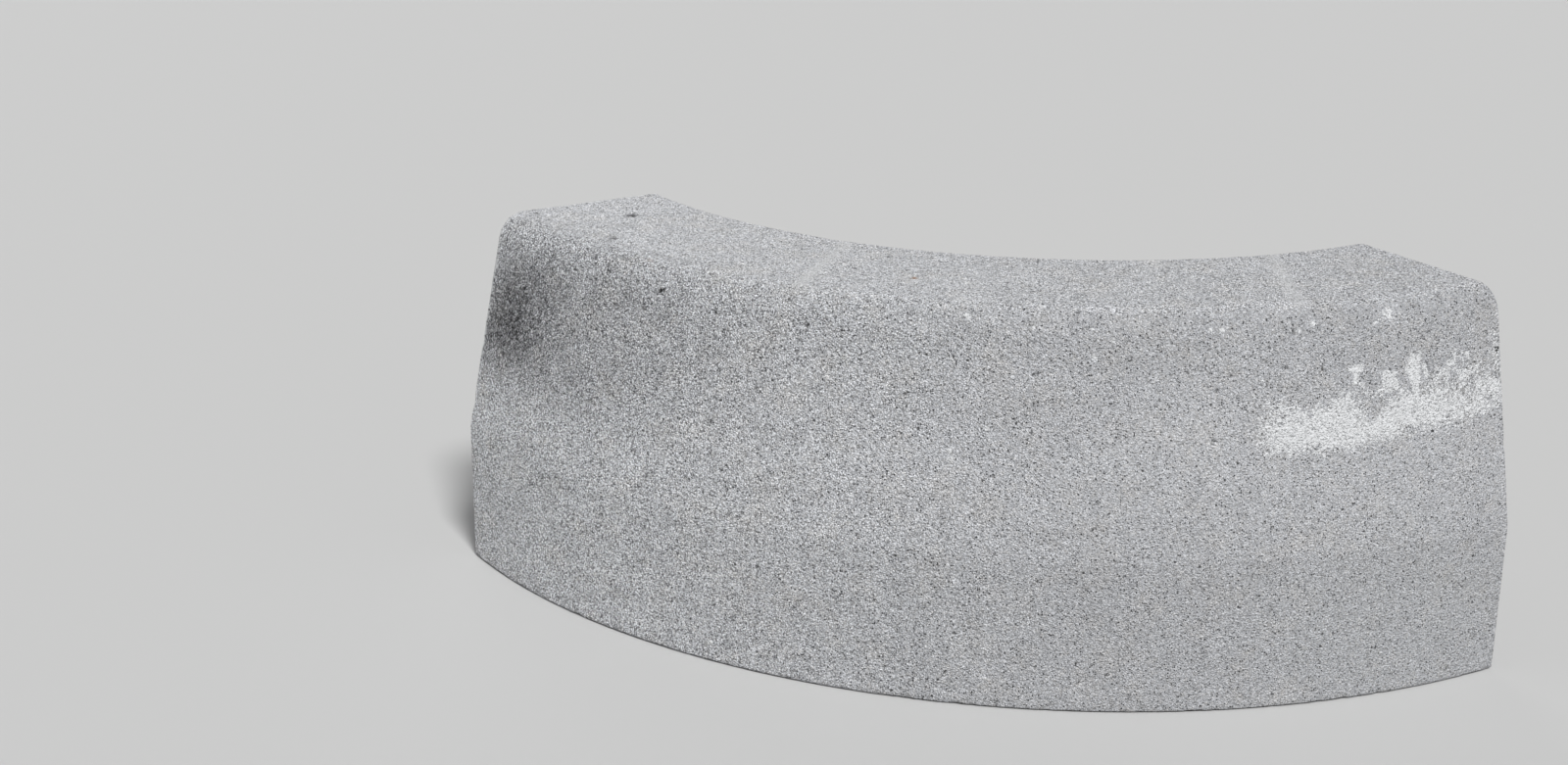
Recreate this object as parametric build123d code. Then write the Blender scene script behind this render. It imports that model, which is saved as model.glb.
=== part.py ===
from build123d import *
import math
import os

# Radius kerb stone: one concrete casting that carries a line of road kerbs round
# an outside corner. The convex side is the face towards the road, the concave
# side is the back, and about half of the height stands below the paving.
# Lengths are in millimetres and angles in degrees.

# Plan of the bend
face_radius = 500.0        # from the centre of the bend to the foot of the face
face_arc_length = 780.0    # measured round the foot of the face

# Cross-section
height = 250.0             # bed to crown
foot_width = 150.0         # face to back, at the bed
batter_height = 150.0      # upper part of the face, which leans back
batter_setback = 30.0      # how far the face leans back over that height
nose_radius = 20.0         # rounding between the battered face and the crown

# Arrises left by the mould
back_arris = 2.5           # crown to back
bed_arris = 4.0            # both long edges of the bed
end_arris = 1.5            # outline of each end face

# The bend turns about an upright axis. The stone is symmetrical about the YZ
# plane, its convex face looks along -Y, and it turns equally to both sides.
sweep = math.degrees(face_arc_length / face_radius)
half_sweep = sweep / 2
back_radius = face_radius - foot_width

# Front and rear limits of the plan, measured from the axis of the bend along -Y.
# The furthest rear points are the back corners of the two ends.
front_reach = face_radius
rear_reach = back_radius * math.cos(math.radians(half_sweep))
axis_y = (front_reach + rear_reach) / 2
bend_axis = Axis((0, axis_y, 0), (0, 0, 1))


def radial_plane(angle):
    """Upright plane through the bend axis: local x runs outward, local y runs up."""
    outward = Vector(math.cos(math.radians(angle)), math.sin(math.radians(angle)), 0)
    return Plane(origin=(0, axis_y, 0), x_dir=outward, z_dir=outward.cross(Vector(0, 0, 1)))


def section_outline():
    """Cross-section as local points: x is the radius from the bend axis, y the height."""
    batter_foot = height - batter_height
    crown_radius = face_radius - batter_setback
    foot_front = (face_radius, 0)
    face_break = (face_radius, batter_foot)
    nose_corner = (crown_radius, height)
    crown_back = (back_radius, height)
    foot_back = (back_radius, 0)
    return foot_front, face_break, nose_corner, crown_back, foot_back


def kerb_section(plane):
    """Closed section with its rounded nose and the small radii of the mould's corners."""
    foot_front, face_break, nose_corner, crown_back, foot_back = section_outline()
    with BuildSketch(plane) as sketch:
        with BuildLine():
            Polyline(foot_front, face_break, nose_corner, crown_back, foot_back, close=True)
        make_face()

        def corner(point):
            return sketch.vertices().sort_by_distance(point)[0]

        fillet(corner(nose_corner), nose_radius)
        fillet(corner(crown_back), back_arris)
        fillet([corner(foot_front), corner(foot_back)], bed_arris)
    return sketch.sketch


def kerb_stone():
    """Section turned round the bend axis, from the left end to the right end."""
    left_end = 270 - half_sweep
    stone = revolve(kerb_section(radial_plane(left_end)), axis=bend_axis, revolution_arc=sweep)
    ends = stone.faces().filter_by(GeomType.PLANE).filter_by(lambda face: abs(face.normal_at().Z) < 0.5)
    outlines = [edge for face in ends for edge in face.edges()]
    return fillet(outlines, end_arris)


os.makedirs("parts", exist_ok=True)
stone = kerb_stone()
export_step(stone, "parts/kerb_stone.step")
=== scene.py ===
import math
import random

import bmesh
import bpy
from mathutils import Euler, Matrix, Vector, kdtree, noise


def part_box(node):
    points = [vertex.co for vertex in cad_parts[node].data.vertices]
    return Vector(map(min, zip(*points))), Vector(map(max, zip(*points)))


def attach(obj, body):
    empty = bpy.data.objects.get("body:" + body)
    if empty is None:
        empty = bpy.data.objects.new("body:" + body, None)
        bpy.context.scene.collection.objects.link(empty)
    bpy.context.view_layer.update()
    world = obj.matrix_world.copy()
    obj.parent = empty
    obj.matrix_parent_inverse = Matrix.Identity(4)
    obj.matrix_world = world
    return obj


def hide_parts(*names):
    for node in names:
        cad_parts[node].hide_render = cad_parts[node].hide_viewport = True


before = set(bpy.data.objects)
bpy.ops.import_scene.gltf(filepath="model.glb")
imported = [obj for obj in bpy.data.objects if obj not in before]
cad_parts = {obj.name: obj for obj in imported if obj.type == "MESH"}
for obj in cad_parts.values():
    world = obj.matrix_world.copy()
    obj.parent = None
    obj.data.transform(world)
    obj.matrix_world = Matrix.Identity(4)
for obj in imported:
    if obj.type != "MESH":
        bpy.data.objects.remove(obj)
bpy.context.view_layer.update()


# The casting. A quarter-bend kerb stone of earth-moist concrete, pressed and vibrated in a
# steel mould as one piece. The convex face is battered and meets the flat crown in a round
# nose; the back, the bed and the two ends are plain.
FACE_RADIUS = 0.500
FACE_ARC = 0.780
FOOT_WIDTH = 0.150
BATTER_SETBACK = 0.030
BATTER_HEIGHT = 0.150
NOSE_RADIUS = 0.020

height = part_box("kerb_stone")[1].z
back_radius = FACE_RADIUS - FOOT_WIDTH
batter_foot = height - BATTER_HEIGHT
half_sweep = FACE_ARC / FACE_RADIUS / 2
axis_y = (FACE_RADIUS + back_radius * math.cos(half_sweep)) / 2
bend_axis = Vector((0, axis_y, 0))
left_end = 1.5 * math.pi - half_sweep

# The mesh starts as the section: a grid of small cells, from back to face and bed to crown.
CELLS_ACROSS = 48
CELLS_UP = 88
STEPS_ROUND = 228
MERGE_REACH = 0.00001
casting = bmesh.new()
bmesh.ops.create_grid(casting, x_segments=CELLS_ACROSS, y_segments=CELLS_UP, size=0.5)
bmesh.ops.scale(casting, vec=(FOOT_WIDTH, height, 1), verts=casting.verts)
bmesh.ops.rotate(casting, cent=(0, 0, 0), matrix=Matrix.Rotation(math.pi / 2, 3, "X"), verts=casting.verts)
bmesh.ops.translate(casting, vec=(back_radius + FOOT_WIDTH / 2, 0, height / 2), verts=casting.verts)


def face_radius(level):
    """Plan radius of the face at a height: upright below, leaning back above."""
    return FACE_RADIUS - BATTER_SETBACK * max(0, level - batter_foot) / BATTER_HEIGHT


# The rows above the batter's foot shorten so that their front ends lean back with the face.
for vert in casting.verts:
    reach = (face_radius(vert.co.z) - back_radius) / FOOT_WIDTH
    vert.co.x = back_radius + (vert.co.x - back_radius) * reach

# The nose: what stands outside the nose's circle is drawn in to it.
batter_angle = math.atan(BATTER_SETBACK / BATTER_HEIGHT)
nose_reach = NOSE_RADIUS * math.tan((math.pi / 2 - batter_angle) / 2)
nose_radius = face_radius(height) - nose_reach
nose_level = height - NOSE_RADIUS
for vert in casting.verts:
    arm = Vector((vert.co.x - nose_radius, 0, vert.co.z - nose_level))
    if arm.x > 0 and math.atan2(arm.z, arm.x) > batter_angle and arm.length > NOSE_RADIUS:
        vert.co = Vector((nose_radius, 0, nose_level)) + arm.normalized() * NOSE_RADIUS


def cut_row(place, across):
    """One more row of cells, where a plane meets the mesh."""
    everything = casting.verts[:] + casting.edges[:] + casting.faces[:]
    bmesh.ops.bisect_plane(casting, geom=everything, plane_co=place, plane_no=across)


# Extra rows close to the sharp edges hold their arrises crisp.
ARRIS_ROWS = (0.0008, 0.0018)
for inset in ARRIS_ROWS:
    cut_row((back_radius + inset, 0, 0), (1, 0, 0))
    cut_row((0, 0, inset), (0, 0, 1))
    cut_row((0, 0, height - inset), (0, 0, 1))

# The section stands at the left end as that end's face. A spin of its outline about the
# bend's axis makes the long surfaces, and a turned copy of the section closes the right end.
bmesh.ops.rotate(casting, cent=(0, 0, 0), matrix=Matrix.Rotation(left_end, 3, "Z"), verts=casting.verts)
bmesh.ops.translate(casting, vec=bend_axis, verts=casting.verts)
outline = [edge for edge in casting.edges if edge.is_boundary]
right_face = bmesh.ops.duplicate(casting, geom=casting.verts[:] + casting.edges[:] + casting.faces[:])
right_verts = [item for item in right_face["geom"] if isinstance(item, bmesh.types.BMVert)]
bmesh.ops.rotate(casting, cent=bend_axis, matrix=Matrix.Rotation(2 * half_sweep, 3, "Z"), verts=right_verts)
bmesh.ops.spin(
    casting,
    geom=outline,
    cent=bend_axis,
    axis=(0, 0, 1),
    angle=2 * half_sweep,
    steps=STEPS_ROUND,
)
bmesh.ops.remove_doubles(casting, verts=casting.verts, dist=MERGE_REACH)
for inset in ARRIS_ROWS:
    for side in (-1, 1):
        turn = 1.5 * math.pi + side * (half_sweep - inset / FACE_RADIUS)
        cut_row(bend_axis, (-math.sin(turn), math.cos(turn), 0))
bmesh.ops.recalc_face_normals(casting, faces=casting.faces)


def plan_place(point):
    """Radius from the bend's axis, and distance round the foot of the face from the left end."""
    arm = point - bend_axis
    turn = math.atan2(arm.y, arm.x) % (2 * math.pi)
    return math.hypot(arm.x, arm.y), (turn - left_end) * FACE_RADIUS


def stone_point(arc, radius, level):
    """The point at a distance round the bend, a plan radius and a height."""
    turn = left_end + arc / FACE_RADIUS
    return bend_axis + Vector((radius * math.cos(turn), radius * math.sin(turn), level))


def face_point(arc, level):
    """The point of the face or the nose at a distance round the bend and a height."""
    lift = level - nose_level
    if lift > NOSE_RADIUS * math.sin(batter_angle):
        return stone_point(arc, nose_radius + math.sqrt(NOSE_RADIUS**2 - lift**2), level)
    return stone_point(arc, face_radius(level), level)


# Pits where air stayed between the mould and the mix. Those that show best are listed one by one,
# as (distance round the face, distance from the back or height, width, depth).
CROWN_PITS = (
    (0.0610, 0.0470, 0.0039, 0.0027),
    (0.1100, 0.0935, 0.0030, 0.0021),
    (0.0130, 0.1000, 0.0020, 0.0014),
    (0.0030, 0.0980, 0.0020, 0.0014),
    (0.3230, 0.0240, 0.0020, 0.0014),
    (0.4880, 0.0840, 0.0015, 0.0010),
)
FACE_PITS = (
    # the largest on the nose, with two small ones beside it
    (0.1900, 0.2338, 0.0016, 0.0016),
    (0.1925, 0.2354, 0.0011, 0.0010),
    (0.1868, 0.2324, 0.0010, 0.0009),
    # along the nose, from the left end to the middle
    (0.0329, 0.2141, 0.0012, 0.0011),
    (0.0372, 0.2345, 0.0013, 0.0012),
    (0.0641, 0.2208, 0.0012, 0.0011),
    (0.0797, 0.2279, 0.0012, 0.0010),
    (0.0798, 0.2360, 0.0013, 0.0012),
    (0.0955, 0.2298, 0.0012, 0.0010),
    (0.1042, 0.2379, 0.0013, 0.0011),
    (0.1227, 0.2436, 0.0012, 0.0010),
    (0.1284, 0.2309, 0.0012, 0.0010),
    (0.1409, 0.2382, 0.0013, 0.0011),
    (0.1614, 0.2065, 0.0012, 0.0010),
    (0.2373, 0.2273, 0.0013, 0.0012),
    (0.2899, 0.2424, 0.0012, 0.0010),
    (0.3056, 0.2295, 0.0014, 0.0012),
    (0.3434, 0.2464, 0.0011, 0.0009),
    # on the middle of the face
    (0.4137, 0.2130, 0.0011, 0.0008),
    (0.4576, 0.2130, 0.0011, 0.0008),
    (0.4821, 0.2476, 0.0012, 0.0009),
    (0.4835, 0.1956, 0.0012, 0.0009),
    (0.4560, 0.1941, 0.0011, 0.0008),
    # on the face and the nose towards the right end
    (0.5520, 0.2144, 0.0011, 0.0008),
    (0.5707, 0.2035, 0.0012, 0.0010),
    (0.5797, 0.2125, 0.0013, 0.0010),
    (0.5886, 0.2161, 0.0011, 0.0008),
    (0.6048, 0.2278, 0.0011, 0.0008),
    (0.6166, 0.2152, 0.0011, 0.0008),
    (0.6208, 0.2369, 0.0012, 0.0009),
    (0.6409, 0.2136, 0.0012, 0.0010),
    (0.6437, 0.2494, 0.0012, 0.0009),
    (0.6767, 0.2492, 0.0013, 0.0009),
    # where grains have broken out of the right end's arris
    (0.7772, 0.2116, 0.0024, 0.0016),
    (0.7775, 0.1964, 0.0019, 0.0013),
)
# Small splashes of lime apart from the rest, as (distance round, height, reach, strength).
FLECKS = (
    # along the nose at the middle
    (0.4119, 0.2435, 0.0018, 0.80),
    (0.4538, 0.2395, 0.0011, 0.62),
    (0.4633, 0.2473, 0.0009, 0.70),
    (0.4927, 0.2241, 0.0016, 0.66),
    (0.4907, 0.2401, 0.0010, 0.62),
    (0.5026, 0.2432, 0.0010, 0.80),
    (0.5047, 0.2325, 0.0009, 0.70),
    # down the middle of the face
    (0.4025, 0.2185, 0.0012, 0.66),
    (0.4056, 0.1633, 0.0014, 0.72),
    (0.4060, 0.1587, 0.0012, 0.66),
    (0.4276, 0.1783, 0.0012, 0.80),
    (0.4231, 0.2073, 0.0009, 0.62),
    # along the nose towards the right end
    (0.5332, 0.2106, 0.0009, 0.62),
    (0.5666, 0.2391, 0.0011, 0.74),
    (0.5740, 0.2392, 0.0013, 0.80),
    (0.5778, 0.2401, 0.0009, 0.66),
    (0.6192, 0.2376, 0.0012, 0.66),
    (0.6253, 0.2371, 0.0012, 0.70),
    (0.6354, 0.2405, 0.0014, 0.66),
)
# A speck of rust and one of moss on the crown, as (distance round, distance from the back,
# reach, strength).
STAINS = (
    (0.3621, 0.0669, 0.0022, 1.0),
    (0.1695, 0.1120, 0.0026, 0.4),
)
# The rest of the pits are smaller, and lie anywhere on the face, the crown, the back and the ends.
SKIN_PITS = 86
END_PITS = 14
SMALL_PIT_WIDTH = 0.0008
PIT_WIDTH_SPREAD = 0.0009
# The least and the most depth of a small pit, as shares of its width.
SHALLOW = 0.4
DEEP = 0.7
crown_width = nose_radius - back_radius


def skin_point(arc, along):
    """The point at a distance round the bend, and a distance up the face, over the crown and down."""
    if along < height:
        return face_point(arc, along)
    if along < height + crown_width:
        return stone_point(arc, nose_radius + height - along, height)
    return stone_point(arc, back_radius, 2 * height + crown_width - along)


random.seed(7)
pits = []
for arc, across, width, depth in CROWN_PITS:
    pits.append((stone_point(arc, back_radius + across, height), width, depth))
for arc, level, width, depth in FACE_PITS:
    pits.append((face_point(arc, level), width, depth))
for number in range(SKIN_PITS + END_PITS):
    if number < SKIN_PITS:
        spot = skin_point(random.uniform(0, FACE_ARC), random.uniform(0, 2 * height + crown_width))
    else:
        across = random.uniform(0, nose_reach + crown_width)
        spot = stone_point(random.choice((0, FACE_ARC)), back_radius + across, random.uniform(0, height))
    width = SMALL_PIT_WIDTH + PIT_WIDTH_SPREAD * random.random() ** 3
    pits.append((spot, width, width * random.uniform(SHALLOW, DEEP)))
pit_tree = kdtree.KDTree(len(pits))
for index, (spot, width, depth) in enumerate(pits):
    pit_tree.insert(spot, index)
pit_tree.balance()
marks = [face_point(arc, level) for arc, level, reach, strength in FLECKS]
marks += [stone_point(arc, back_radius + across, height) for arc, across, reach, strength in STAINS]
mark_tree = kdtree.KDTree(len(marks))
for index, spot in enumerate(marks):
    mark_tree.insert(spot, index)
mark_tree.balance()

# Finer cells round each pit, so that it has a rim and a floor, round each small mark, and where
# lime was splashed on the face, as (first and last distance round, lowest and highest level).
SPOT_REACH = 0.0030
SPLASH = (0.655, 0.757, 0.189, 0.248)
SPLASH_DEPTH = 0.010


def needs_fine_cells(edge):
    """Whether an edge lies by a pit or a mark, or in the splashed part of the face."""
    middle = (edge.verts[0].co + edge.verts[1].co) / 2
    radius, arc = plan_place(middle)
    splashed = SPLASH[0] < arc < SPLASH[1] and SPLASH[2] < middle.z < SPLASH[3]
    on_face = radius > face_radius(middle.z) - SPLASH_DEPTH
    near_spot = min(pit_tree.find(middle)[2], mark_tree.find(middle)[2]) < SPOT_REACH
    return near_spot or (splashed and on_face)


fine_edges = [edge for edge in casting.edges if needs_fine_cells(edge)]
bmesh.ops.subdivide_edges(casting, edges=fine_edges, cuts=2, use_grid_fill=True)
casting.normal_update()


def eased(first, second, radius):
    """How far a point at two depths moves in along each, where their corner has a radius."""
    reach_first = max(0, radius - first)
    reach_second = max(0, radius - second)
    reach = math.hypot(reach_first, reach_second)
    if reach <= radius:
        return 0, 0
    share = 1 - radius / reach
    return reach_first * share, reach_second * share


# Arrises: the mould leaves them sharp, and handling rubs and crumbles them a little.
BACK_ARRIS = 0.0022
BED_ARRIS = 0.0035
END_ARRIS = 0.0016
CRUMBLE_LENGTH = 0.011
CRUMBLE_DEPTH = 0.0042
CRUMBLE_START = 0.42


def crumbled(radius, point):
    """An arris radius that widens here and there, where grains have broken out."""
    loss = noise.fractal(point / CRUMBLE_LENGTH, 0.8, 2.1, 3)
    return radius * (0.75 + 0.35 * abs(loss)) + CRUMBLE_DEPTH * max(0, loss - CRUMBLE_START)


for vert in casting.verts:
    point = vert.co.copy()
    radius, arc = plan_place(point)
    outward = Vector((point.x, point.y - axis_y, 0)).normalized()
    up = Vector((0, 0, 1))
    crown_depth = height - point.z
    bed_depth = point.z
    back_depth = radius - back_radius
    face_depth = face_radius(point.z) - radius
    arm = Vector((radius - nose_radius, 0, point.z - nose_level))
    on_nose = arm.x > 0 and math.atan2(arm.z, arm.x) > batter_angle
    nose_depth = NOSE_RADIUS - arm.length if on_nose else height
    shells = (
        (crown_depth, -up),
        (bed_depth, up),
        (back_depth, outward),
        (face_depth, -outward),
        (nose_depth, -(outward * arm.x + up * arm.z).normalized()),
    )
    shell_depth, shell_inward = min(shells, key=lambda shell: shell[0])
    end_turn = min(arc, FACE_ARC - arc) / FACE_RADIUS
    end_depth = radius * math.sin(max(0, end_turn))
    along = outward.cross(up) * (-1 if arc < FACE_ARC / 2 else 1)
    back_arris = crumbled(BACK_ARRIS, point)
    bed_arris = crumbled(BED_ARRIS, point)
    end_arris = crumbled(END_ARRIS, point)
    for depths, inward, arris in (
        ((crown_depth, back_depth), (-up, outward), back_arris),
        ((bed_depth, back_depth), (up, outward), bed_arris),
        ((bed_depth, face_depth), (up, -outward), bed_arris),
        ((end_depth, shell_depth), (along, shell_inward), end_arris),
    ):
        if max(depths) < arris:
            moves = eased(depths[0], depths[1], arris)
            vert.co += inward[0] * moves[0] + inward[1] * moves[1]
casting.normal_update()

# Relief of the cast skin, always inward from the true form: a slight swell that the mould and
# the settling mix leave, the unevenness between grains, and the pits.
SWELL_LENGTH = 0.110
SWELL_DEPTH = 0.0004
RUFFLE_LENGTH = 0.013
RUFFLE_DEPTH = 0.00010
GRAIN_LENGTH = 0.0055
GRAIN_DEPTH = 0.00004
PIT_RIM_LENGTH = 0.002
# A pit this deep, or deeper, is quite dark inside.
DARK_DEPTH = 0.0014
pit_shade = []
for vert in casting.verts:
    point = vert.co.copy()
    swell = SWELL_DEPTH * (0.5 + 0.5 * noise.noise(point / SWELL_LENGTH))
    ruffle = RUFFLE_DEPTH * (0.5 + 0.5 * noise.fractal(point / RUFFLE_LENGTH, 0.9, 2.0, 2))
    grain = GRAIN_DEPTH * (0.5 + 0.5 * noise.noise(point / GRAIN_LENGTH))
    spot, index, away = pit_tree.find(point)
    width, depth = pits[index][1:]
    ragged = width * (1 + 0.35 * noise.noise(point / PIT_RIM_LENGTH))
    hollow = max(0, 1 - (away / ragged) ** 2)
    pit_shade.append(min(1, 3 * hollow) * min(1, depth / DARK_DEPTH))
    inset = max(0, swell + ruffle + grain) + depth * math.sqrt(hollow)
    vert.co = point - vert.normal * inset
casting.normal_update()

# What each place on the surface has been through, and where light and shade are painted on it,
# kept as fields on the mesh for the finish.
# First a damp patch by the left end, with painted shade that spreads from it along the left part
# of the face, made of soft ovals, each as (distance round, height, reach round, reach up, strength).
DAMP_AND_SHADE_PATCHES = (
    (0.024, 0.189, 0.042, 0.036, 0.72),
    (0.064, 0.200, 0.042, 0.034, 0.48),
    (0.020, 0.160, 0.062, 0.028, 0.34),
    (0.120, 0.192, 0.150, 0.058, 0.42),
    (0.160, 0.221, 0.040, 0.010, 0.16),
    (0.230, 0.226, 0.240, 0.014, 0.07),
    (0.050, 0.157, 0.110, 0.014, 0.13),
    (0.115, 0.190, 0.034, 0.050, 0.12),
)
# Lime splashed on the face near the right end. Each dab is a short stroke: its two ends, as
# (distance round, height), its half width and its strength.
LIME_DABS = (
    ((0.661, 0.2120), (0.668, 0.2120), 0.0024, 0.85),
    ((0.665, 0.2120), (0.664, 0.2040), 0.0022, 0.75),
    ((0.668, 0.2020), (0.669, 0.2010), 0.0015, 0.80),
    ((0.687, 0.2050), (0.688, 0.1990), 0.0042, 0.90),
    ((0.692, 0.2065), (0.694, 0.1980), 0.0021, 0.90),
    ((0.694, 0.1980), (0.698, 0.1950), 0.0015, 0.75),
    ((0.706, 0.2154), (0.707, 0.2080), 0.0021, 0.85),
    ((0.711, 0.2165), (0.709, 0.2080), 0.0023, 0.85),
    ((0.704, 0.2080), (0.708, 0.2020), 0.0034, 0.85),
    ((0.708, 0.2110), (0.708, 0.2020), 0.0044, 0.95),
    ((0.708, 0.2010), (0.708, 0.1930), 0.0026, 0.95),
    ((0.715, 0.2095), (0.717, 0.2035), 0.0019, 0.85),
    ((0.739, 0.2120), (0.738, 0.2070), 0.0019, 0.80),
    ((0.745, 0.2100), (0.747, 0.2085), 0.0012, 0.75),
    ((0.750, 0.2125), (0.752, 0.2090), 0.0015, 0.80),
    ((0.745, 0.1985), (0.749, 0.1985), 0.0022, 0.80),
    ((0.726, 0.2060), (0.727, 0.2058), 0.0016, 0.65),
    ((0.691, 0.2440), (0.690, 0.2415), 0.0024, 0.62),
    ((0.688, 0.2425), (0.678, 0.2380), 0.0014, 0.56),
)
DAB_EDGE = 0.0006
# The crust of lime along the depth that the stone was set to: the height of its line, and the
# share of the surface that it covers there, each against the distance round. It thins out over
# a few grains upward, and sooner below.
LIME_LINE = ((0.596, 0.172), (0.660, 0.173), (0.700, 0.177), (0.742, 0.179), (0.780, 0.185))
LIME_SHARE = ((0.594, 0.3), (0.612, 0.92), (0.660, 0.98), (0.705, 0.88), (0.740, 0.70), (0.780, 0.74))
LIME_RISE = 0.028
LIME_BELOW = 0.012
LIME_WAVE = 0.022
LIME_FRAY = 0.009
# A trace of joint mortar on the left end's arris, down to the depth that the stone was set to.
JOINT_TRACE = 0.0045
TRACE_STRENGTH = 0.85
TRACE_BOTTOM = 0.148
# Two pale wipe marks that cross the crown in a curve: distance round at the back and at the nose.
WIPES = ((0.267, 0.291), (0.682, 0.631))
WIPE_WIDTH = 0.0058
WIPE_SPAN = 0.105
# Spots where the skin is a little paler, scuffed or cleaner, as the damp patches are given.
SCUFFS = (
    (0.4075, 0.2498, 0.0100, 0.0014, 0.14),
    (0.4280, 0.2446, 0.0060, 0.0040, 0.14),
    (0.4712, 0.2434, 0.0080, 0.0040, 0.14),
    (0.5199, 0.2445, 0.0080, 0.0050, 0.10),
    (0.5450, 0.1860, 0.0550, 0.0260, 0.10),
    (0.5881, 0.2227, 0.0090, 0.0080, 0.10),
    (0.6141, 0.2478, 0.0120, 0.0060, 0.12),
    (0.6260, 0.2219, 0.0050, 0.0120, 0.13),
    (0.6900, 0.2420, 0.0140, 0.0080, 0.08),
)
# The crown is painted paler than the face, as painted light from the sky above, most of all at the
# left end; towards the right end it is painted a little darker.
CROWN_LIGHT_LEFT = 0.10
CROWN_LIGHT_RIGHT = -0.10
# The nose band is painted darker, as painted shade, so that the lamp does not light it brighter than the
# crown.
NOSE_PAINTED_SHADE = 0.09
# Dust lies in the grain low on the face.
DUST_LEVEL = 0.150
DUST_REACH = 0.034
DUST_SHARE = 0.09
DUST_START = 0.35
# The grain's tone swings further, with more painted shade in the gaps and on the rims of the grains,
# towards the left end of the face, where the lamp's light grazes it, and on the crown; a little less on the
# nose.
SHADE_CONTRAST_LEFT = 2.10
SHADE_CONTRAST_REACH = 0.5
SHADE_CONTRAST_DEPTH = 0.014
SHADE_CONTRAST_CROWN = 1.10
SHADE_CONTRAST_NOSE = -0.05
# The marks belong to the face and the nose, down to this depth behind the face, and their
# outlines waver a little.
FACE_DEPTH = 0.022
BED_CLEAR = 0.004
WARP_LENGTH = 0.018
WARP_REACH = 0.006


def blob(arc, level, patch):
    """Strength of one soft oval patch at a place on the stone."""
    centre_arc, centre_level, reach_arc, reach_up, strength = patch
    away = ((arc - centre_arc) / reach_arc) ** 2 + ((level - centre_level) / reach_up) ** 2
    return strength * math.exp(-(away**1.5))


def dab_strength(arc, level, dab):
    """Strength of one dab at a place on the face: full inside its stroke, nothing beyond its edge."""
    start, end, half_width, strength = dab
    line = Vector(end) - Vector(start)
    arm = Vector((arc, level)) - Vector(start)
    along = min(1, max(0, arm.dot(line) / line.length_squared))
    away = (arm - line * along).length
    return strength * min(1, max(0, (half_width + DAB_EDGE - away) / (2 * DAB_EDGE)))


def between(points, arc):
    """A value read off a line through a few points, each a distance round and a value."""
    for (first_arc, first), (last_arc, last) in zip(points, points[1:]):
        if first_arc <= arc <= last_arc:
            return first + (last - first) * (arc - first_arc) / (last_arc - first_arc)
    return points[0][1] if arc < points[0][0] else points[-1][1]


fields = {name: [] for name in ("crown", "dust_scuffs_and_painted_light", "grain_shade_contrast", "damp_and_shade", "lime", "wipe", "pit", "stain")}
for vert, shade in zip(casting.verts, pit_shade):
    radius, arc = plan_place(vert.co)
    level = vert.co.z
    across = radius - back_radius
    facing_up = min(1, max(0, (vert.normal.z - 0.80) / 0.19))
    on_face_side = 1 if face_radius(level) - radius < FACE_DEPTH and level > BED_CLEAR else 0
    warp = WARP_REACH * noise.noise(vert.co / WARP_LENGTH)
    # Damp by the left end, and painted shade along the left part of the face.
    damp_and_shade = sum(blob(arc + warp, level + warp, patch) for patch in DAMP_AND_SHADE_PATCHES)
    lime = 0
    if arc > LIME_SHARE[0][0]:
        above = level - between(LIME_LINE, arc)
        rise = 1 + 0.9 * noise.noise(vert.co / LIME_WAVE) + 0.4 * noise.noise(vert.co / LIME_FRAY)
        rise *= LIME_RISE
        fade = max(0, 1 - above / rise) if above > 0 else max(0, 1 + above / LIME_BELOW)
        lime = between(LIME_SHARE, arc) * math.sqrt(fade)
        lime = max(lime, max(dab_strength(arc + warp / 8, level + warp / 8, dab) for dab in LIME_DABS))
    if level > TRACE_BOTTOM and arc < 3 * JOINT_TRACE:
        lime = TRACE_STRENGTH * math.exp(-((arc / JOINT_TRACE) ** 2))
    wipe = 0
    for start, end in WIPES:
        bow = min(1, max(0, across / WIPE_SPAN))
        middle = start + (end - start) * (0.4 * bow + 0.6 * math.sqrt(bow))
        wipe = max(wipe, math.exp(-(((arc - middle) / WIPE_WIDTH) ** 2)))
    spot, index, away = mark_tree.find(vert.co)
    stain = 0
    if index < len(FLECKS):
        reach, strength = FLECKS[index][2:]
        lime = max(lime, 2 * strength * min(1, max(0, (reach + DAB_EDGE - away) / (2 * DAB_EDGE))))
    else:
        reach, strength = STAINS[index - len(FLECKS)][2:]
        stain = strength * math.exp(-((away / reach) ** 4))
    rounding = on_face_side * math.exp(-(((vert.normal.z - 0.62) / 0.30) ** 2))
    fields["crown"].append(facing_up)
    # Painted light on the crown: paler at the left end, a little darker at the right.
    crown_painted_light = facing_up * (CROWN_LIGHT_LEFT + (CROWN_LIGHT_RIGHT - CROWN_LIGHT_LEFT) * arc / FACE_ARC)
    dusty = on_face_side * min(1, max(0, arc / DUST_START))
    dusty *= math.exp(-(((level - DUST_LEVEL) / DUST_REACH) ** 2))
    scuffed = on_face_side * sum(blob(arc, level, patch) for patch in SCUFFS)
    # Painted light on the crown and painted shade on the nose, with dust low on the face and paler scuffs.
    fields["dust_scuffs_and_painted_light"].append(crown_painted_light + DUST_SHARE * dusty + scuffed - NOSE_PAINTED_SHADE * rounding)
    exposed = math.exp(-(((face_radius(level) - radius) / SHADE_CONTRAST_DEPTH) ** 2))
    # More painted shade in the grain towards the left end of the face, and on the crown.
    shade_contrast_left = SHADE_CONTRAST_LEFT * exposed * (1 - facing_up) * max(0, 1 - arc / SHADE_CONTRAST_REACH)
    fields["grain_shade_contrast"].append(1 + shade_contrast_left + SHADE_CONTRAST_CROWN * facing_up + SHADE_CONTRAST_NOSE * rounding)
    fields["damp_and_shade"].append(damp_and_shade * on_face_side)
    fields["lime"].append(lime if on_face_side or facing_up else 0)
    fields["wipe"].append(wipe * facing_up)
    fields["pit"].append(shade)
    fields["stain"].append(stain)

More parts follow.
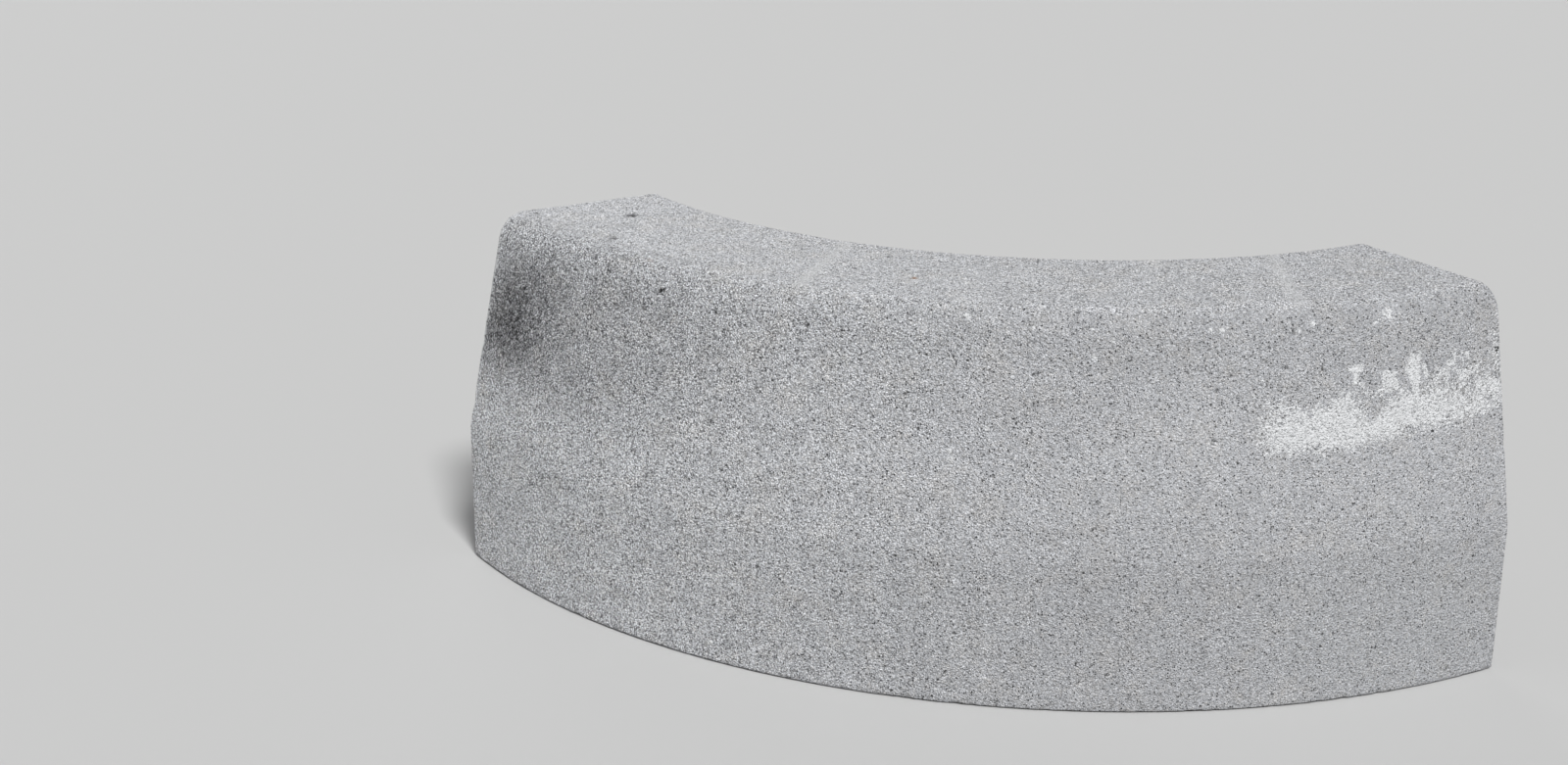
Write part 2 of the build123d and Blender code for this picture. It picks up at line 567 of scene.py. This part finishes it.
kerb_mesh = bpy.data.meshes.new("kerb_stone_cast")
casting.to_mesh(kerb_mesh)
casting.free()
kerb_mesh.shade_smooth()
for name, values in fields.items():
    kerb_mesh.attributes.new(name, "FLOAT", "POINT").data.foreach_set("value", values)
kerb = bpy.data.objects.new("kerb_stone_cast", kerb_mesh)
bpy.context.scene.collection.objects.link(kerb)
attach(kerb, "root")
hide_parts("kerb_stone")

# The finish of the concrete: sand grains in grey paste, with pores between them.
concrete = bpy.data.materials.new("cast_concrete")
concrete.use_nodes = True
tree = concrete.node_tree
shader = tree.nodes["Principled BSDF"]
place = tree.nodes.new("ShaderNodeTexCoord").outputs["Object"]


def set_socket(socket, value):
    """Joins a socket to another node's output, or sets its own value."""
    if isinstance(value, bpy.types.NodeSocket):
        tree.links.new(value, socket)
    else:
        socket.default_value = value


def field(name):
    """One of the fields kept on the mesh."""
    made = tree.nodes.new("ShaderNodeAttribute")
    made.attribute_name = name
    return made.outputs["Fac"]


def maths(operation, first, second=0.0, clamp=False):
    """One step of arithmetic on two values."""
    made = tree.nodes.new("ShaderNodeMath")
    made.operation = operation
    made.use_clamp = clamp
    set_socket(made.inputs[0], first)
    set_socket(made.inputs[1], second)
    return made.outputs[0]


def total(*values):
    """The sum of several values."""
    result = values[0]
    for value in values[1:]:
        result = maths("ADD", result, value)
    return result


def around(value, spread, middle=0.5):
    """A value that swings about a middle, made to swing about nought by a spread."""
    return maths("MULTIPLY", maths("SUBTRACT", value, middle), spread)


def clouds(wavelength, octaves=2.0, rough=0.5):
    """Noise with a given wavelength in metres; about 0 to 1, middling 0.5."""
    made = tree.nodes.new("ShaderNodeTexNoise")
    set_socket(made.inputs["Vector"], place)
    made.inputs["Scale"].default_value = 1 / wavelength
    made.inputs["Detail"].default_value = octaves
    made.inputs["Roughness"].default_value = rough
    return made.outputs["Fac"]


def grains(size):
    """Cells of a given size: how near each middle, and three random numbers for each cell."""
    made = tree.nodes.new("ShaderNodeTexVoronoi")
    set_socket(made.inputs["Vector"], place)
    made.inputs["Scale"].default_value = 1 / size
    numbers = tree.nodes.new("ShaderNodeSeparateColor")
    set_socket(numbers.inputs[0], made.outputs["Color"])
    return made.outputs["Distance"], numbers.outputs[0], numbers.outputs[1], numbers.outputs[2]


def ramp(value, start, end, low_value=0.0, high_value=1.0):
    """A value moved from one range to another, with soft ends."""
    made = tree.nodes.new("ShaderNodeMapRange")
    made.interpolation_type = "SMOOTHSTEP"
    set_socket(made.inputs["Value"], value)
    made.inputs["From Min"].default_value = start
    made.inputs["From Max"].default_value = end
    made.inputs["To Min"].default_value = low_value
    made.inputs["To Max"].default_value = high_value
    return made.outputs["Result"]


def mix(share, first, second):
    """Two colours mixed by a share from 0 to 1."""
    made = tree.nodes.new("ShaderNodeMix")
    made.data_type = "RGBA"
    set_socket(made.inputs["Factor"], share)
    set_socket(made.inputs["A"], first)
    set_socket(made.inputs["B"], second)
    return made.outputs["Result"]


def toned(colour, tone):
    """A colour made lighter or darker by a factor."""
    made = tree.nodes.new("ShaderNodeVectorMath")
    made.operation = "SCALE"
    set_socket(made.inputs[0], colour)
    set_socket(made.inputs["Scale"], tone)
    return made.outputs["Vector"]


# What the skin is made of, from the finest grit to patches of a few centimetres.
FINES_SIZE = 0.00072
GAP_SPACING = 0.00120
SAND_SIZE = 0.00125
DUST_SIZE = 0.0014
LUMP_SIZE = 0.0028
CHIP_SPACING = 0.0048
CLUMP_SIZE = 0.0100
UNEVEN_SIZE = 0.018
HUE_SIZE = 0.024
MOTTLE_SIZE = 0.050
sand_away, sand_tone, sand_rise, sand_hue = grains(SAND_SIZE)
fines_away, fines_tone, fines_rise = grains(FINES_SIZE)[:3]
gap_away, gap_tone, gap_rise = grains(GAP_SPACING)[:3]
chip_away, chip_tone, chip_rise, chip_hue = grains(CHIP_SPACING)
dust = clouds(DUST_SIZE, 2.0, 0.6)
lump = clouds(LUMP_SIZE, 2.0, 0.6)
uneven = clouds(UNEVEN_SIZE, 2.0, 0.5)
clump = clouds(CLUMP_SIZE, 3.0, 0.6)
mottle = clouds(MOTTLE_SIZE, 3.0, 0.55)
hue_patch = clouds(HUE_SIZE, 3.0, 0.6)

# Each grain is a small dome that stands out of the paste by its own amount. A few coarser
# chips show too. The gaps between them are painted dark, as painted shade and dust, and a few grains
# are painted bright, as pale grains with a painted glint.
sand_round = ramp(sand_away, 0.66, 0.10)
fines_round = ramp(fines_away, 0.66, 0.10)
sand_dome = maths("MULTIPLY", sand_round, ramp(sand_rise, 0.1, 1.0, 0.15, 1.0))
fines_dome = maths("MULTIPLY", fines_round, ramp(fines_rise, 0.1, 1.0, 0.2, 1.0))
gap_size = ramp(gap_tone, 0.62, 1.0, 0.0, 0.50)
gap = ramp(total(gap_size, maths("MULTIPLY", gap_away, -1.0), around(dust, 0.7)), 0.0, 0.16)
spark = ramp(maths("SUBTRACT", ramp(gap_rise, 0.86, 1.0, 0.0, 0.36), gap_away), 0.0, 0.10)
chip_size = ramp(chip_tone, 0.80, 1.0, 0.0, 0.30)
chip = ramp(maths("SUBTRACT", chip_size, chip_away), 0.0, 0.10)
pore_size = ramp(chip_rise, 0.66, 1.0, 0.0, 0.17)
pore = ramp(maths("SUBTRACT", pore_size, maths("ADD", chip_away, around(dust, 0.40))), 0.0, 0.03)

# The height of the grit, about 0 to 1.
grit = total(
    maths("MULTIPLY", sand_dome, 0.35),
    maths("MULTIPLY", fines_dome, 0.12),
    around(dust, 0.70),
    maths("MULTIPLY", gap, -0.45),
    0.42,
)

# Tone of the paste and grains, as factors round one; its swing, and with it the painted shade of
# the grains, is stronger towards the left end of the face and on the crown.
PASTE = (0.405, 0.4115, 0.428)
PLAIN = (1, 1, 1, 1)
WARM = (1.04, 1.0, 0.94, 1)
CHIP_GREY = (0.42, 0.42, 0.42)
PORE_SHADE = (0.06, 0.06, 0.06, 1)
PIT_SHADE = (0.035, 0.035, 0.035, 1)
DARKEST_TONE = 0.12
contrast = maths("MULTIPLY", field("grain_shade_contrast"), ramp(uneven, 0.32, 0.68, 1.10, 1.32))
# Random tones of the grains, with painted shade on the rims of the domes and in the gaps, and painted
# glints.
speckle = total(
    around(sand_round, 0.50, 0.28),
    around(fines_round, 0.60, 0.28),
    around(sand_tone, 0.28),
    around(fines_tone, 0.40),
    around(clump, 0.04),
    maths("MULTIPLY", gap, -0.95),
    maths("MULTIPLY", spark, 0.60),
    0.20,
)
# The tone takes the crown's painted light, the nose's painted shade, and the dust and scuffs.
tone = total(1.0, maths("MULTIPLY", speckle, contrast), around(mottle, 0.10), field("dust_scuffs_and_painted_light"))
colour = toned(PASTE, maths("MAXIMUM", tone, DARKEST_TONE))
warmth = maths("ADD", ramp(sand_hue, 0.55, 1.0, 0.0, 0.5), ramp(hue_patch, 0.45, 0.75, 0.0, 0.4))
warm = mix(warmth, PLAIN, WARM)
tinted = tree.nodes.new("ShaderNodeVectorMath")
tinted.operation = "MULTIPLY"
set_socket(tinted.inputs[0], colour)
set_socket(tinted.inputs[1], warm)
colour = tinted.outputs["Vector"]
chip_colour = toned(CHIP_GREY, ramp(chip_hue, 0.0, 1.0, 0.7, 1.3))
colour = mix(maths("MULTIPLY", chip, 0.3), colour, chip_colour)
colour = mix(maths("MULTIPLY", pore, 0.9), colour, PORE_SHADE)
colour = mix(field("pit"), colour, PIT_SHADE)

# Wipe marks lie on the grains as a pale film, and damp and painted shade darken paste and grains alike.
WIPE_FILM = (0.70, 0.705, 0.71, 1)
DAMP_AND_SHADE_LOSS = 0.50
colour = mix(maths("MULTIPLY", field("wipe"), 0.55), colour, WIPE_FILM)
damp_and_shade_grain = total(1.0, around(clump, 1.0), around(sand_tone, -0.45), around(fines_tone, -0.45))
damp_and_shade = maths("MULTIPLY", field("damp_and_shade"), damp_and_shade_grain)
colour = toned(colour, maths("SUBTRACT", 1.0, maths("MULTIPLY", damp_and_shade, DAMP_AND_SHADE_LOSS, clamp=True)))

# Lime: a thin speckled crust that holds on to the tops of the grains. Rust and moss stain the
# paste through.
LIME_WHITE = (0.79, 0.80, 0.81)
STAIN_BROWN = (0.27, 0.13, 0.05, 1)
lime_field = field("lime")
lime_hold = total(
    lime_field,
    around(lump, 0.8),
    around(clump, 0.8),
    around(sand_tone, 0.55),
    around(fines_tone, 0.35),
    around(dust, 0.4),
)
lime_share = maths("MULTIPLY", ramp(lime_hold, 0.48, 0.58), ramp(lime_field, 0.03, 0.15))
lime_colour = toned(LIME_WHITE, total(1.0, around(fines_tone, 0.25)))
colour = mix(maths("MULTIPLY", lime_share, 0.92), colour, lime_colour)
colour = mix(maths("MULTIPLY", field("stain"), 0.9), colour, STAIN_BROWN)
set_socket(shader.inputs["Base Color"], colour)

shader.inputs["Roughness"].default_value = 0.92
shader.inputs["Specular IOR Level"].default_value = 0.25

# Relief finer than the mesh: the height of the bump at full grit, and its share on the crown.
RELIEF_HEIGHT = 0.0025
CROWN_RELIEF = 0.90
relief = total(
    grit,
    maths("MULTIPLY", chip, 0.25),
    maths("MULTIPLY", pore, -0.7),
)
relief = maths("MULTIPLY", relief, ramp(field("crown"), 0.0, 1.0, 1.0, CROWN_RELIEF))
bump = tree.nodes.new("ShaderNodeBump")
bump.inputs["Strength"].default_value = 1.0
bump.inputs["Distance"].default_value = RELIEF_HEIGHT
set_socket(bump.inputs["Height"], relief)
set_socket(shader.inputs["Normal"], bump.outputs["Normal"])
kerb_mesh.materials.append(concrete)


# The floor: one plain pale studio sheet, painted matt, that the stone stands on. It is large
# enough to run out of every view.
FLOOR_HALF = 12.0
FLOOR_GREY = (0.56, 0.56, 0.555, 1)
sheet = bmesh.new()
bmesh.ops.create_grid(sheet, x_segments=1, y_segments=1, size=FLOOR_HALF)
floor_mesh = bpy.data.meshes.new("floor")
sheet.to_mesh(floor_mesh)
sheet.free()
floor = bpy.data.objects.new("floor", floor_mesh)
bpy.context.scene.collection.objects.link(floor)
pale = bpy.data.materials.new("pale_floor")
pale.use_nodes = True
paint = pale.node_tree.nodes["Principled BSDF"]
paint.inputs["Base Color"].default_value = FLOOR_GREY
paint.inputs["Roughness"].default_value = 0.9
floor_mesh.materials.append(pale)


# Light: an even pale sky, and one broad soft lamp far off on the face's side, high to the right.
# Where the camera or a gloss sees past the floor, there is a plain pale backdrop.
SKY_WHITE = (0.97, 0.98, 1.0, 1)
BACKDROP_GREY = (0.60, 0.60, 0.60, 1)
world = bpy.data.worlds.new("studio")
bpy.context.scene.world = world
world.use_nodes = True
studio = world.node_tree
sky = studio.nodes["Background"]
sky.inputs["Color"].default_value = SKY_WHITE
sky.inputs["Strength"].default_value = 0.26
backdrop = studio.nodes.new("ShaderNodeBackground")
backdrop.inputs["Color"].default_value = BACKDROP_GREY
ray = studio.nodes.new("ShaderNodeLightPath")
seen = ray.outputs["Is Camera Ray"]
for kind in ("Is Glossy Ray", "Is Transmission Ray"):
    also = studio.nodes.new("ShaderNodeMath")
    also.operation = "MAXIMUM"
    studio.links.new(seen, also.inputs[0])
    studio.links.new(ray.outputs[kind], also.inputs[1])
    seen = also.outputs[0]
either = studio.nodes.new("ShaderNodeMixShader")
studio.links.new(seen, either.inputs["Fac"])
studio.links.new(sky.outputs["Background"], either.inputs[1])
studio.links.new(backdrop.outputs["Background"], either.inputs[2])
studio.links.new(either.outputs["Shader"], studio.nodes["World Output"].inputs["Surface"])

# The lamp's places are in degrees: round from straight in front, and up from the floor.
LAMP_TO_THE_RIGHT = 33
LAMP_HEIGHT = 51
lamp_data = bpy.data.lights.new("key_lamp", "SUN")
lamp_data.energy = 3.0
lamp_data.angle = math.radians(12)
lamp = bpy.data.objects.new("key_lamp", lamp_data)
lamp.rotation_euler = (math.radians(90 - LAMP_HEIGHT), 0, math.radians(LAMP_TO_THE_RIGHT))
bpy.context.scene.collection.objects.link(lamp)

# A broad weak lamp from behind keeps the back and the ends readable.
FILL_HEIGHT = 20
fill_data = bpy.data.lights.new("fill_lamp", "SUN")
fill_data.energy = 0.4
fill_data.angle = math.radians(40)
fill = bpy.data.objects.new("fill_lamp", fill_data)
fill.rotation_euler = (math.radians(90 - FILL_HEIGHT), 0, math.radians(LAMP_TO_THE_RIGHT + 180))
bpy.context.scene.collection.objects.link(fill)


# Camera: where the photograph was taken from, with the same lens, turned down a little more so
# that the stone is in the picture right down to its bed. Angles are in degrees.
CAMERA_PLACE = (0.2421, -1.3951, 0.6406)
CAMERA_HEADING = 14.49
CAMERA_LOOK_DOWN = 16.3
EXTRA_LOOK_DOWN = 2.2
CAMERA_ROLL = 0.45
SENSOR_WIDTH = 36.0
PHOTO_WIDTH = 1600
FOCAL_LENGTH_IN_PIXELS = 2329
camera_data = bpy.data.cameras.new("camera")
camera_data.sensor_width = SENSOR_WIDTH
camera_data.lens = FOCAL_LENGTH_IN_PIXELS / PHOTO_WIDTH * SENSOR_WIDTH
camera = bpy.data.objects.new("camera", camera_data)
aim = Euler((math.radians(90 - CAMERA_LOOK_DOWN), 0, math.radians(CAMERA_HEADING))).to_matrix()
roll = Matrix.Rotation(math.radians(CAMERA_ROLL), 3, "Z")
nod = Matrix.Rotation(math.radians(-EXTRA_LOOK_DOWN), 3, "X")
camera.matrix_world = Matrix.Translation(CAMERA_PLACE) @ (aim @ roll @ nod).to_4x4()
bpy.context.scene.collection.objects.link(camera)
bpy.context.scene.camera = camera
bpy.context.scene.view_settings.view_transform = "Standard"
